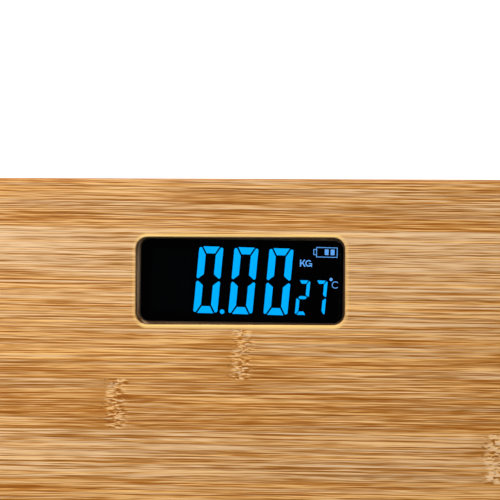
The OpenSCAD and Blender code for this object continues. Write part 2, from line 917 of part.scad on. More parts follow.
// Strip that closes a wiring groove, flush with the board's underside
module wire_cover(c) {
    from_x = bracket_cup_d / 2 + cup_gap + 1;
    to_x = lead_run(c) - (c[2] < 0 ? 6 : 1);
    color(black_plastic)
    at_foot(c)
        translate([from_x, -groove_w / 2 + cover_gap, underside_z])
            cube([to_x - from_x, groove_w - 2 * cover_gap, cover_t]);
}

module foot(c) {
    seat_r = pad_d / 2 + 0.1;
    color(black_plastic)
    at_foot(c)
        rotate_extrude()
            polygon([
                [0, pad_t], [seat_r, pad_t], [seat_r, pad_z], [foot_d / 2 - 0.5, pad_z],
                [foot_d / 2, pad_z + 0.5], [foot_d / 2, flange_z], [foot_flange_d / 2, flange_z],
                [foot_flange_d / 2, flange_z + foot_flange_t], [stem_d / 2, flange_z + foot_flange_t],
                [stem_d / 2, cell_seat_z - 0.5], [stem_d / 2 - 0.5, cell_seat_z], [0, cell_seat_z]
            ]);
}

module foot_pad(c) {
    ring_w = 1.2;
    ring_h = 0.5;
    rings = 3;
    edge = 0.5;
    color(rubber)
    at_foot(c)
        difference() {
            rotate_extrude()
                polygon([
                    [0, 0], [pad_d / 2 - edge, 0], [pad_d / 2, edge], [pad_d / 2, pad_t], [0, pad_t]
                ]);
            for (i = [1 : rings])
                rotate_extrude()
                    translate([i * pad_d / (2 * rings + 2), -1])
                        square([ring_w, 1 + ring_h]);
        }
}

// ---------- assembly ----------

platform();
display_window();
window_gasket();
module_case();
lcd_glass();
lcd_polarisers();
light_guide();
backlight_leds();
zebra_strip(-1);  // zebra_strip_front
zebra_strip(1);  // zebra_strip_rear
main_pcb();
controller_chip();
pcb_parts();
tact_switch();
switch_plunger();
unit_button();
module_base();
battery_door();
battery_a();
battery_b();
contact_spring_left();
contact_plate_left();
contact_bridge();
battery_leads();
base_screws();
foot_screws();
for (c = CORNERS) {
    foot_bracket(c);
    load_cell(c);
    strain_gauge(c);
    sensor_leads(c);
    wire_cover(c);
    foot(c);
    foot_pad(c);
}
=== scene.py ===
"""Looks of a bamboo bathroom scale: bamboo, smoked window, lit digits, plastics, steel and the studio."""
import functools
import math

import bmesh
import bpy
from bpy.props import FloatProperty, FloatVectorProperty, PointerProperty
from mathutils import Matrix, Vector


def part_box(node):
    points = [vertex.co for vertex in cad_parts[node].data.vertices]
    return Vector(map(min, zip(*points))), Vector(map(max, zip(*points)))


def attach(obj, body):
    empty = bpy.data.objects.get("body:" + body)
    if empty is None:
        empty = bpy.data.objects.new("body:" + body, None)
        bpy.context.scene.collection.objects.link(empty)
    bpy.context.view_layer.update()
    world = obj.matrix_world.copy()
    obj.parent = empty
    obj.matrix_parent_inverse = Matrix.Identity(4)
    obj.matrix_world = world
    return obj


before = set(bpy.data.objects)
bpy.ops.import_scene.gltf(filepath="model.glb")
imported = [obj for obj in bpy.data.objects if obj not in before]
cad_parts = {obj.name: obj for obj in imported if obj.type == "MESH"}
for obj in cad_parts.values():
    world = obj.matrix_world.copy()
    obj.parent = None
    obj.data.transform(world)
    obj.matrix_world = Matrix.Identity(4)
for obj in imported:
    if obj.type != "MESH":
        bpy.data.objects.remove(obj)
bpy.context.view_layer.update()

bl_info = {
    "name": "Bamboo Bathroom Scale",
    "version": (1, 0, 0),
    "blender": (4, 5, 0),
    "location": "View3D > Sidebar > Bathroom Scale",
    "description": "Finishes, lit display and studio of a bamboo bathroom scale",
    "category": "Object",
}

MM = 0.001
SKIN = 0.02 * MM
CORNERS = ("front_left", "front_right", "rear_left", "rear_right")

BOARD_LOW, BOARD_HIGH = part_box("platform")
GASKET_LOW, GASKET_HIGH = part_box("window_gasket")
GASKET_PLAY = 0.1 * MM
OPENING_MIDDLE = (GASKET_LOW + GASKET_HIGH) / 2
OPENING_HALF = (GASKET_HIGH - GASKET_LOW) / 2 + Vector((GASKET_PLAY, GASKET_PLAY, 0.0))
OPENING_RADIUS = 4.3 * MM
LENS_LOW, LENS_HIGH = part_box("display_window")
LENS_MIDDLE = (LENS_LOW + LENS_HIGH) / 2
LENS_GAP = 0.45 * MM
LENS_END_GAP = 0.7 * MM
LENS_HALF = OPENING_HALF - Vector((LENS_END_GAP, LENS_GAP, 0.0))
LENS_RADIUS = OPENING_RADIUS - LENS_GAP
LENS_EDGE = 0.4 * MM
LENS_TURN = math.radians(-0.515)
FILM_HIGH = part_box("lcd_polarisers")[1]

# Every bamboo strip from the rear one to the front one: the place of a knuckle, its tone, its yellowness
STRIPS = (
    (0.122, 0.44, 0.45), (0.118, 0.62, 0.75), (-0.117, 0.56, 0.50), (0.0005, 0.46, 0.45),
    (-0.0455, 0.36, 0.40), (0.093, 0.55, 0.60), (-0.128, 0.42, 0.35), (0.052, 0.60, 0.70),
    (0.131, 0.50, 0.45), (-0.072, 0.38, 0.55), (0.021, 0.58, 0.65), (-0.108, 0.48, 0.40),
    (0.104, 0.62, 0.60), (-0.021, 0.44, 0.50), (0.066, 0.52, 0.70), (-0.113, 0.40, 0.40),
    (0.012, 0.55, 0.55),
)


# ---------------------------------------------------------------- settings


def length(name, text, default, **more):
    """A size that a user may change, in metres."""
    return FloatProperty(name=name, description=text, default=default, unit="LENGTH", precision=5, **more)


def colour(name, text, default):
    """A linear colour that a user may change."""
    return FloatVectorProperty(
        name=name, description=text, default=default, subtype="COLOR", size=3, min=0.0, max=1.0
    )


def share(name, text, default):
    """A strength without a unit."""
    return FloatProperty(name=name, description=text, default=default, min=0.0)


class ScaleBamboo(bpy.types.PropertyGroup):
    """Sizes and colours of the laminated bamboo."""

    strip_width: length("Strip width", "Width of one bamboo strip", 0.0184)
    layer_height: length("Layer height", "Thickness of each of the three layers", 0.005)
    internode: length("Internode", "Distance between two knuckles of a strip", 0.27)
    knuckle_width: length("Knuckle width", "Width of the disturbed grain at a knuckle", 0.0090)
    fan_length: length("Fan length", "Length over which fibres fan out beside a knuckle", 0.014)
    drift: FloatProperty(
        name="Drift", description="Slope of the strips against the rear edge", default=-0.0105
    )
    # rim width: width of the band round the window that carries the painted highlight
    rim_width: length("Rim width", "Width of the freshly cut wood round the window", 0.0011)
    hair: share("Hair", "Contrast of the thinnest fibres", 2.9)
    fine: share("Fine fibres", "Contrast of the fine fibres", 0.6)
    broad: share("Broad bands", "Contrast of the broad bands", 0.12)
    lines: share("Dark lines", "Strength of the unbroken dark lines", 0.26)
    specks: share("Specks", "Contrast of the short specks", 1.5)
    light: colour("Light fibre", "Palest fibres", (0.86, 0.55, 0.262))
    body: colour("Body", "Main colour of the strips", (0.60, 0.308, 0.102))
    brown: colour("Brown fibre", "Colour between the body and the darkest fibres", (0.435, 0.178, 0.029))
    dark: colour("Dark fibre", "Darkest fibres", (0.29, 0.09, 0.008))
    # painted highlight: this rim colour stands partly for paler fresh cut wood and partly for light caught
    # on the rim
    cut: colour("Fresh cut", "Wood at the mouth of the window", (1.0, 0.68, 0.24))
    torn: colour("Torn fibre", "Pale fibres in a knuckle", (0.82, 0.52, 0.26))
    pore: colour("Pore", "Dark pores in a knuckle", (0.11, 0.030, 0.008))
    # painted shade: this darker colour goes on the board's rounded top edge, where it turns away from the
    # light
    edge_shade: colour("Shaded edge", "Wood where the edge was shaded", (0.36, 0.15, 0.035))


class ScaleDisplay(bpy.types.PropertyGroup):
    """Sizes and colours of the lit display."""

    digit_height: length("Digit height", "Height of the large digits", 0.0246)
    digit_width: length("Digit width", "Width of the large digits", 0.00885)
    digit_pitch: length("Digit pitch", "Distance between the large digits", 0.01293)
    stroke: length("Stroke", "Width of a segment of the large digits", 0.00256)
    small_stroke: length("Small stroke", "Width of a segment of the small digits", 0.00122)
    gap: length("Segment gap", "Gap between neighbouring segments", 0.00062)
    small_ratio: FloatProperty(
        name="Small ratio", description="Size of the small digits against the large ones", default=0.518
    )
    lean: FloatProperty(
        name="Lean", description="Lean of the digits to the right", default=math.radians(3.9),
        subtype="ANGLE",
    )
    tilt: FloatProperty(
        name="Tilt", description="Turn of the glass in its housing", default=math.radians(-1.35),
        subtype="ANGLE",
    )
    print_width: length("Printed border", "Width of the black print round the window", 0.0014)
    lit: colour("Lit segment", "Colour of the light through a segment", (0.0, 0.42, 1.0))
    sign: colour("Lit sign", "Colour of the light through a small sign", (0.15, 0.47, 1.0))
    shift: FloatVectorProperty(
        name="Shift", description="Place of the artwork against the middle of the window", size=2,
        default=(0.00028, -0.00025), unit="LENGTH", precision=5,
    )
    glow: FloatProperty(name="Glow", description="Strength of the lit segments", default=1.0, min=0.0)


class ScaleStudio(bpy.types.PropertyGroup):
    """Camera and light."""

    camera_height: length("Camera height", "Height of the camera above the board", 0.40)
    camera_x: length("Camera across", "Place of the camera across the board", 0.0034)
    camera_back: length("Camera to edge", "Distance from the camera's axis to the rear edge", 0.0261)
    view_width: length("View width", "Width that the camera sees on the board", 0.1825)
    roll: FloatProperty(
        name="Roll", description="Turn of the camera about its axis", default=math.radians(0.25),
        subtype="ANGLE",
    )
    key_power: FloatProperty(
        name="Key", description="Power of the main light", default=14.0, subtype="POWER"
    )
    fill_power: FloatProperty(
        name="Fill", description="Power of each fill light", default=6.0, subtype="POWER"
    )


# ---------------------------------------------------------------- node building


class Graph:
    """Adds and links the nodes of one shader tree."""

    def __init__(self, tree):
        self.tree = tree

    def add(self, kind, **settings):
        node = self.tree.nodes.new(kind)
        for name, value in settings.items():
            setattr(node, name, value)
        return node

    def feed(self, socket, value):
        if isinstance(value, bpy.types.NodeSocket):
            self.tree.links.new(value, socket)
        elif socket.type == "RGBA" and len(value) == 3:
            socket.default_value = (*value, 1.0)
        else:
            socket.default_value = value

    def math(self, operation, a, b=0.0, clamp=False):
        node = self.add("ShaderNodeMath", operation=operation, use_clamp=clamp)
        self.feed(node.inputs[0], a)
        self.feed(node.inputs[1], b)
        return node.outputs[0]

    def plus(self, a, b, clamp=False):
        return self.math("ADD", a, b, clamp)

    def minus(self, a, b):
        return self.math("SUBTRACT", a, b)

    def times(self, a, b):
        return self.math("MULTIPLY", a, b)

    def combine(self, x, y, z):
        node = self.add("ShaderNodeCombineXYZ")
        for socket, value in zip(node.inputs, (x, y, z)):
            self.feed(socket, value)
        return node.outputs[0]

    def split(self, vector):
        node = self.add("ShaderNodeSeparateXYZ")
        self.feed(node.inputs[0], vector)
        return node.outputs[0], node.outputs[1], node.outputs[2]

    def stretch(self, vector, factors):
        node = self.add("ShaderNodeVectorMath", operation="MULTIPLY")
        self.feed(node.inputs[0], vector)
        self.feed(node.inputs[1], factors)
        return node.outputs[0]

    def place(self):
        return self.add("ShaderNodeTexCoord").outputs["Object"]

    def noise(self, vector, scale=1.0, detail=2.0, roughness=0.5):
        node = self.add("ShaderNodeTexNoise")
        self.feed(node.inputs["Vector"], vector)
        self.feed(node.inputs["Scale"], scale)
        self.feed(node.inputs["Detail"], detail)
        self.feed(node.inputs["Roughness"], roughness)
        return node.outputs["Fac"]

    def cells(self, vector, scale):
        node = self.add("ShaderNodeTexVoronoi")
        self.feed(node.inputs["Vector"], vector)
        self.feed(node.inputs["Scale"], scale)
        return node.outputs["Distance"]

    def random(self, value, seed=0.0):
        node = self.add("ShaderNodeTexWhiteNoise", noise_dimensions="2D")
        self.feed(node.inputs["Vector"], self.combine(value, seed, 0.0))
        return node.outputs["Value"]

    def mix(self, factor, a, b, blend="MIX"):
        node = self.add("ShaderNodeMix", data_type="RGBA", blend_type=blend)
        self.feed(node.inputs[0], factor)
        self.feed(node.inputs[6], a)
        self.feed(node.inputs[7], b)
        return node.outputs[2]

    def span(self, value, low, high, to_low=0.0, to_high=1.0, smooth=True):
        """value from low to high, drawn out to to_low and to_high and kept between them."""
        node = self.add("ShaderNodeMapRange", clamp=True)
        node.interpolation_type = "SMOOTHSTEP" if smooth else "LINEAR"
        for socket, given in zip(node.inputs, (value, low, high, to_low, to_high)):
            self.feed(socket, given)
        return node.outputs[0]

    def ramp(self, factor, stops, constant=False):
        node = self.add("ShaderNodeValToRGB")
        ramp = node.color_ramp
        ramp.interpolation = "CONSTANT" if constant else "LINEAR"
        while len(ramp.elements) < len(stops):
            ramp.elements.new(1.0)
        for element, (place, shade) in zip(ramp.elements, stops):
            element.position = place
            element.color = (*shade, 1.0) if len(shade) == 3 else shade
        self.feed(node.inputs[0], factor)
        return node.outputs[0]

    def bump(self, height, strength, distance):
        node = self.add("ShaderNodeBump")
        self.feed(node.inputs["Height"], height)
        node.inputs["Strength"].default_value = strength
        node.inputs["Distance"].default_value = distance
        return node.outputs[0]

    def use(self, group, **values):
        node = self.add("ShaderNodeGroup", node_tree=group)
        for name, value in values.items():
            self.feed(node.inputs[name.replace("_", " ").capitalize()], value)
        return node.outputs


def new_group(name, inputs, outputs):
    """A shared node group with those sockets. Returns its graph, its inputs and its output node."""
    tree = bpy.data.node_groups.new(name, "ShaderNodeTree")
    for socket, kind, default in inputs:
        item = tree.interface.new_socket(name=socket, in_out="INPUT", socket_type=kind)
        if default is not None:
            item.default_value = default
    for socket, kind in outputs:
        tree.interface.new_socket(name=socket, in_out="OUTPUT", socket_type=kind)
    graph = Graph(tree)
    return graph, graph.add("NodeGroupInput").outputs, graph.add("NodeGroupOutput").inputs


@functools.cache
def long_fibre():
    """Noise drawn out along X, for wood fibres and brushed metal."""
    graph, given, out = new_group(
        "long_fibre",
        (("Vector", "NodeSocketVector", None), ("Along", "NodeSocketFloat", 20.0),
         ("Across", "NodeSocketFloat", 1000.0), ("Seed", "NodeSocketFloat", 0.0),
         ("Detail", "NodeSocketFloat", 2.0)),
        (("Value", "NodeSocketFloat"),),
    )
    scale = graph.combine(given["Along"], given["Across"], given["Across"])
    shift = graph.combine(graph.times(given["Seed"], 37.0), given["Seed"], given["Seed"])
    moved = graph.add("ShaderNodeVectorMath", operation="ADD")
    graph.feed(moved.inputs[0], graph.stretch(given["Vector"], scale))
    graph.feed(moved.inputs[1], shift)
    graph.feed(out["Value"], graph.noise(moved.outputs[0], 1.0, given["Detail"], 0.55))
    return graph.tree


@functools.cache
def moulded_grain():
    """Fine spark-eroded texture of moulded plastic, with slow variation of tone."""
    graph, given, out = new_group(
        "moulded_grain",
        (("Vector", "NodeSocketVector", None), ("Grain", "NodeSocketFloat", 2600.0)),
        (("Height", "NodeSocketFloat"), ("Tone", "NodeSocketFloat")),
    )
    pits = graph.noise(given["Vector"], given["Grain"], 3.0, 0.6)
    slow = graph.noise(given["Vector"], 45.0, 3.0, 0.6)
    graph.feed(out["Height"], graph.plus(pits, graph.times(slow, 0.3)))
    graph.feed(out["Tone"], slow)
    return graph.tree


@functools.cache
def settled_dust():
    """Thin dust and faint smudges, which lighten a colour and roughen a surface."""
    graph, given, out = new_group(
        "settled_dust",
        (("Vector", "NodeSocketVector", None), ("Color", "NodeSocketColor", (0.5, 0.5, 0.5, 1.0)),
         ("Dust", "NodeSocketColor", (0.55, 0.52, 0.47, 1.0)), ("Amount", "NodeSocketFloat", 0.1)),
        (("Color", "NodeSocketColor"), ("Mask", "NodeSocketFloat")),
    )
    patches = graph.span(graph.noise(given["Vector"], 60.0, 4.0, 0.65), 0.42, 0.75)
    motes = graph.span(graph.noise(given["Vector"], 1500.0, 2.0, 0.5), 0.58, 0.74)
    mask = graph.times(graph.math("MAXIMUM", patches, motes), given["Amount"])
    graph.feed(out["Color"], graph.mix(mask, given["Color"], given["Dust"]))
    graph.feed(out["Mask"], mask)
    return graph.tree


# ---------------------------------------------------------------- materials


def new_material(name):
    """An empty material. Returns it, its graph and its principled shader."""
    material = bpy.data.materials.new(name)
    material.use_nodes = True
    graph = Graph(material.node_tree)
    shader = next(n for n in material.node_tree.nodes if n.type == "BSDF_PRINCIPLED")
    return material, graph, shader


def set_plain(shader, **values):
    """Sets the shader's own sockets to values that are the same all over the surface."""
    for name, value in values.items():
        socket = shader.inputs[name.replace("_", " ")]
        socket.default_value = (*value, 1.0) if socket.type == "RGBA" and len(value) == 3 else value


def drive(graph, shader, base, rough, height, strength, distance):
    """Links the colour, the roughness and the relief of a shader."""
    graph.feed(shader.inputs["Base Color"], base)
    graph.feed(shader.inputs["Roughness"], rough)
    graph.feed(shader.inputs["Normal"], graph.bump(height, strength, distance))


def finish_node(material, *nodes):
    """Gives CAD nodes that material in every slot."""
    for name in nodes:
        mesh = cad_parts[name].data
        mesh.materials.clear()
        mesh.materials.append(material)


def window_distance(graph, x, y):
    """Distance from the mouth of the window, positive outside it."""
    from_middle = graph.math("ABSOLUTE", graph.minus(y, OPENING_MIDDLE.y))
    past_x = graph.minus(graph.math("ABSOLUTE", x), OPENING_HALF.x - OPENING_RADIUS)
    past_y = graph.minus(from_middle, OPENING_HALF.y - OPENING_RADIUS)
    out_x = graph.math("MAXIMUM", past_x, 0.0)
    out_y = graph.math("MAXIMUM", past_y, 0.0)
    corner = graph.math(
        "SQRT", graph.plus(graph.times(out_x, out_x), graph.times(out_y, out_y))
    )
    inside = graph.math("MINIMUM", graph.math("MAXIMUM", past_x, past_y), 0.0)
    return graph.minus(graph.plus(corner, inside), OPENING_RADIUS)


def board_directions(graph, wood, x, y, z):
    """Distances along, across and up the fibres, which run crosswise in the middle one of three layers."""
    depth = graph.math("DIVIDE", graph.minus(z, BOARD_LOW.z), wood.layer_height)
    layer = graph.math("MINIMUM", graph.math("MAXIMUM", graph.math("FLOOR", depth), 0.0), 2.0)
    crossed = graph.math("LESS_THAN", graph.math("ABSOLUTE", graph.minus(layer, 1.0)), 0.5)
    slope_y = graph.minus(y, graph.times(x, wood.drift))
    turned = graph.add("ShaderNodeMix", data_type="VECTOR")
    graph.feed(turned.inputs[0], crossed)
    graph.feed(turned.inputs[4], graph.combine(x, slope_y, z))
    graph.feed(turned.inputs[5], graph.combine(y, x, z))
    along, across, up = graph.split(turned.outputs[1])
    return along, across, up, layer, crossed


def strip_facts(graph, wood, across, layer):
    """A strip's own seed, how far across it a place is from 0 to 1, and its row of STRIPS."""
    count = graph.math("DIVIDE", graph.minus(BOARD_HIGH.y, across), wood.strip_width)
    number = graph.math("FLOOR", count)
    turn = graph.math("FRACT", graph.math("DIVIDE", graph.plus(number, 0.5), float(len(STRIPS))))
    stops = [
        (i / len(STRIPS), (0.5 + place / wood.internode, tone, yellow))
        for i, (place, tone, yellow) in enumerate(STRIPS)
    ]
    place, tone, yellow = graph.split(graph.ramp(turn, stops, constant=True))
    place = graph.times(graph.minus(place, 0.5), wood.internode)
    seed = graph.plus(number, graph.times(layer, 41.0))
    return seed, graph.math("FRACT", count), place, tone, yellow


def knuckle_distance(graph, wood, along, across, seed, place):
    """Distance to the nearest knuckle along a strip, and the number of the stretch between knuckles."""
    wave = graph.noise(graph.combine(0.0, graph.times(across, 150.0), seed), 1.0, 4.0, 0.65)
    sway = graph.times(graph.minus(wave, 0.5), wood.knuckle_width)
    run = graph.minus(graph.plus(along, sway), place)
    turns = graph.math("DIVIDE", run, wood.internode)
    near = graph.minus(turns, graph.math("ROUND", turns))
    signed = graph.times(near, wood.internode)
    return signed, graph.math("FLOOR", turns)


def bamboo_material(wood):
    """Laminated bamboo: strips with their own tint and knuckles in three crossed layers."""
    material, graph, shader = new_material("laminated_bamboo")
    x, y, z = graph.split(graph.place())
    along, across, up, layer, crossed = board_directions(graph, wood, x, y, z)
    strip, part, place, strip_tone, yellow = strip_facts(graph, wood, across, layer)
    signed, stretch = knuckle_distance(graph, wood, along, across, strip, place)
    away = graph.math("ABSOLUTE", signed)
    half = wood.knuckle_width / 2
    ragged = graph.noise(graph.combine(0.0, graph.times(across, 1400.0), up), 1.0, 1.0)
    knuckle = graph.span(away, half * 0.3, half * 1.1, 1.0, 0.0)
    knuckle = graph.times(knuckle, graph.span(ragged, 0.3, 0.6, 0.45, 1.0))

    # fibres waver slightly, and fan out on one side of a knuckle
    seed = graph.plus(graph.times(strip, 3.7), graph.times(stretch, 1.9))

    def wave(along_scale, across_scale, detail=2.0):
        """Slow noise in the board's own directions, before the fibres are bent."""
        scaled = graph.combine(graph.times(along, along_scale), graph.times(across, across_scale), seed)
        return graph.minus(graph.noise(scaled, 1.0, detail), 0.5)

    fan = graph.times(graph.span(signed, -half, 0.0), graph.span(signed, 0.0, wood.fan_length, 1.0, 0.0))
    bend = graph.times(wave(8.0, 50.0, 1.0), 1.0 * MM)
    spread = graph.times(wave(25.0, 330.0, 1.0), fan)
    bend = graph.plus(bend, graph.times(spread, 2.4 * MM))
    drawn = graph.combine(along, graph.plus(across, bend), up)
    straight = graph.combine(along, across, up)

    def fibres(along_scale, across_scale, extra, detail=1.0, vector=drawn):
        """Noise from -0.5 to 0.5, with its count of features per metre along and across the fibres."""
        value = graph.use(
            long_fibre(), vector=vector, along=along_scale, across=across_scale,
            seed=graph.plus(seed, extra), detail=detail,
        )["Value"]
        return graph.minus(value, 0.5)

    def bundles(along_scale, across_scale, extra, thickness):
        """Thin unbroken lines, which fade in and out along their way."""
        near = graph.math("ABSOLUTE", fibres(along_scale, across_scale, extra, 0.0))
        line = graph.span(near, thickness * 0.3, thickness, 1.0, 0.0)
        return graph.times(line, graph.span(fibres(16.0, across_scale, extra + 7.0), -0.16, 0.14))

    hair = fibres(20.0, 3200.0, 0.0)
    fine = fibres(10.0, 2150.0, 5.0)
    medium = fibres(7.0, 1200.0, 11.0)
    broad = fibres(4.0, 170.0, 23.0, 2.0)
    lines = graph.math("MAXIMUM", bundles(2.0, 560.0, 31.0, 0.05), bundles(3.5, 1100.0, 43.0, 0.075))
    dashes = fibres(330.0, 1500.0, 57.0, 2.0, straight)
    specks = fibres(90.0, 2900.0, 61.0)

    tone = strip_tone
    calm = graph.minus(1.0, graph.times(knuckle, 0.85))
    for part_of_tone, weight in (
        (graph.times(hair, calm), wood.hair), (graph.times(fine, calm), wood.fine),
        (broad, wood.broad), (specks, wood.specks),
        (graph.minus(0.5, part), 0.16), (graph.times(knuckle, dashes), 5.0),
    ):
        tone = graph.plus(tone, graph.times(part_of_tone, weight))
    shade = graph.ramp(tone, (
        (0.0, tuple(wood.dark)), (0.24, tuple(wood.brown)), (0.50, tuple(wood.body)),
        (0.88, tuple(wood.light)),
    ))
    shade = graph.mix(graph.times(graph.times(lines, calm), wood.lines), shade, tuple(wood.dark))

    # a knuckle has a brown flank, pale torn fibres and dark pores
    flank = graph.span(signed, -half * 2.6, -half * 0.9)
    flank = graph.times(flank, graph.span(signed, -half * 0.9, -half * 0.4, 1.0, 0.0))
    flank = graph.times(flank, graph.span(fine, -0.1, 0.1, 0.3, 1.0))
    shade = graph.mix(graph.times(flank, 0.55), shade, tuple(wood.brown))
    torn = graph.times(knuckle, graph.span(dashes, 0.0, 0.1))
    shade = graph.mix(graph.times(torn, 0.75), shade, tuple(wood.torn))
    border = graph.math("ABSOLUTE", graph.plus(signed, half * 0.6))
    pore = graph.span(fibres(420.0, 1500.0, 97.0, 1.0, straight), 0.12, 0.2)
    pore = graph.times(pore, graph.span(border, half * 0.3, half * 0.9, 1.0, 0.0))
    shade = graph.mix(graph.times(pore, 0.6), shade, tuple(wood.pore))

    # each strip and each bundle has its own warmth
    warmth = graph.plus(yellow, graph.times(fibres(10.0, 1300.0, 67.0, 1.0), 2.6))
    warm = graph.mix(graph.span(warmth, 0.0, 1.0), (1.07, 0.98, 0.74), (0.94, 1.01, 1.24))
    shade = graph.mix(1.0, shade, warm, "MULTIPLY")

    # glue line between strips
    edge = graph.math("MINIMUM", part, graph.minus(1.0, part))
    glue = graph.span(edge, 0.004, 0.026, 1.0, 0.0)
    glue = graph.times(glue, graph.span(wave(24.0, 0.0), -0.15, 0.15, 0.15, 0.75))
    shade = graph.mix(glue, shade, tuple(wood.brown))

    # painted highlight round the window's mouth: partly the paler fresh cut wood, partly light painted
    # along the rim, weaker at the window's ends
    gap = window_distance(graph, x, y)
    upper = graph.span(z, BOARD_HIGH.z - 1.4 * MM, BOARD_HIGH.z - 0.7 * MM)
    rim_highlight = graph.span(gap, wood.rim_width * 0.7, wood.rim_width * 1.5, 1.0, 0.0)
    rim_highlight = graph.times(graph.times(rim_highlight, upper), graph.span(gap, -0.1 * MM, 0.25 * MM))
    end_side = graph.span(graph.math("ABSOLUTE", x), OPENING_HALF.x - 3 * MM, OPENING_HALF.x, 0.85, 0.3)
    end_side = graph.times(end_side, graph.span(medium, -0.2, 0.2, 0.75, 1.15))
    shade = graph.mix(graph.times(rim_highlight, end_side), shade, tuple(wood.cut))
    # painted shade: the rounded top edge, where its surface tilts away from the top, gets a darker colour
    # that stands in for shade
    normal_x, normal_y, normal_z = graph.split(graph.add("ShaderNodeTexCoord").outputs["Normal"])
    rounded = graph.span(normal_z, 0.6, 1.0, 1.0, 0.0, smooth=False)
    rounded = graph.times(rounded, graph.span(gap, 3 * MM, 6 * MM))
    rounded = graph.times(rounded, graph.span(z, BOARD_HIGH.z - 3 * MM, BOARD_HIGH.z - 1.5 * MM))
    shade = graph.mix(graph.times(rounded, 0.85), shade, tuple(wood.edge_shade))

    # end grain drinks more lacquer, so it is darker
    plain_end = graph.times(graph.math("ABSOLUTE", normal_x), graph.minus(1.0, crossed))
    cross_end = graph.times(graph.math("ABSOLUTE", normal_y), crossed)
    end_grain = graph.span(graph.plus(plain_end, cross_end), 0.5, 0.9, 0.0, 0.35)
    shade = graph.mix(end_grain, shade, tuple(c * 0.55 for c in wood.body))

    graph.feed(shader.inputs["Base Color"], shade)
    rough = graph.plus(0.44, graph.times(fine, 0.25))
    graph.feed(shader.inputs["Roughness"], graph.plus(rough, graph.times(lines, 0.1)))
    height = graph.plus(graph.times(fine, 0.6), graph.times(medium, 0.4))
    height = graph.minus(height, graph.times(lines, 0.35))
    height = graph.minus(height, graph.times(glue, 0.6))
    graph.feed(shader.inputs["Normal"], graph.bump(height, 0.16, 0.1 * MM))
    set_plain(shader, Specular_IOR_Level=0.22, Coat_Weight=0.05, Coat_Roughness=0.28)
    return material


def smoked_material():
    """Smoked window with faint smudges and hairline scratches."""
    material, graph, shader = new_material("smoked_window")
    place = graph.place()
    smudge = graph.span(graph.noise(place, 38.0, 4.0, 0.65), 0.45, 0.75, 0.02, 0.075)
    scratch = graph.use(long_fibre(), vector=place, along=30.0, across=4200.0, detail=1.0)["Value"]
    scratch = graph.span(scratch, 0.66, 0.72)
    graph.feed(shader.inputs["Roughness"], graph.plus(smudge, graph.times(scratch, 0.06)))
    graph.feed(shader.inputs["Normal"], graph.bump(scratch, 0.03, 0.02 * MM))
    tint = graph.mix(graph.noise(place, 20.0, 2.0), (0.105, 0.11, 0.12), (0.125, 0.13, 0.14))
    graph.feed(shader.inputs["Base Color"], tint)
    set_plain(shader, Transmission_Weight=1.0, IOR=1.46, Specular_IOR_Level=0.4)
    return material


def lit_material(name, lit, glow):
    """Light through a display segment, a little uneven as a backlight is."""
    material, graph, shader = new_material(name)
    place = graph.place()
    uneven = graph.noise(place, 120.0, 2.0)
    dimmer = tuple(c * 0.88 for c in lit)
    graph.feed(shader.inputs["Emission Color"], graph.mix(uneven, tuple(lit), dimmer))
    graph.feed(shader.inputs["Base Color"], graph.mix(uneven, (0.0, 0.02, 0.05), (0.0, 0.03, 0.07)))
    set_plain(shader, Emission_Strength=glow * 10.0, Roughness=0.5)
    return material


def plastic_material(name, shade, roughness=0.5, dust=0.08):
    """Moulded plastic with a fine texture, slow tone and settled dust."""
    material, graph, shader = new_material(name)
    place = graph.place()
    texture = graph.use(moulded_grain(), vector=place)
    lighter = tuple(min(1.0, c * 1.35 + 0.004) for c in shade)
    toned = graph.mix(texture["Tone"], tuple(shade), lighter)
    dusted = graph.use(settled_dust(), vector=place, color=toned, amount=dust)
    rough = graph.plus(roughness - 0.06, graph.times(texture["Height"], 0.1))
    drive(
        graph, shader, dusted["Color"],
        graph.plus(rough, dusted["Mask"], clamp=True), texture["Height"], 0.45, 0.04 * MM
    )
    set_plain(shader, Specular_IOR_Level=0.5)
    return material


def rubber_material(name, shade):
    """Soft rubber or foam: matt, finely pitted, with pale bloom."""
    material, graph, shader = new_material(name)
    place = graph.place()
    pits = graph.cells(place, 2200.0)
    bloom = graph.use(settled_dust(), vector=place, color=tuple(shade), amount=0.16)
    rough = graph.span(pits, 0.0, 0.6, 0.67, 0.85)
    drive(graph, shader, bloom["Color"], rough, pits, 0.4, 0.05 * MM)
    set_plain(shader, Specular_IOR_Level=0.3)
    return material


def steel_material(name, shade, roughness):
    """Rolled or plated steel with fine lines and a little stain."""
    material, graph, shader = new_material(name)
    place = graph.place()
    rolled = graph.use(long_fibre(), vector=place, along=60.0, across=2600.0, detail=2.0)["Value"]
    stain = graph.noise(place, 300.0, 3.0, 0.6)
    darker = tuple(c * 0.72 for c in shade)
    rough = graph.plus(roughness, graph.times(graph.minus(rolled, 0.5), 0.2))
    drive(
        graph, shader, graph.mix(graph.span(stain, 0.35, 0.75), tuple(shade), darker),
        rough, rolled, 0.15, 0.02 * MM
    )
    set_plain(shader, Metallic=1.0)
    return material


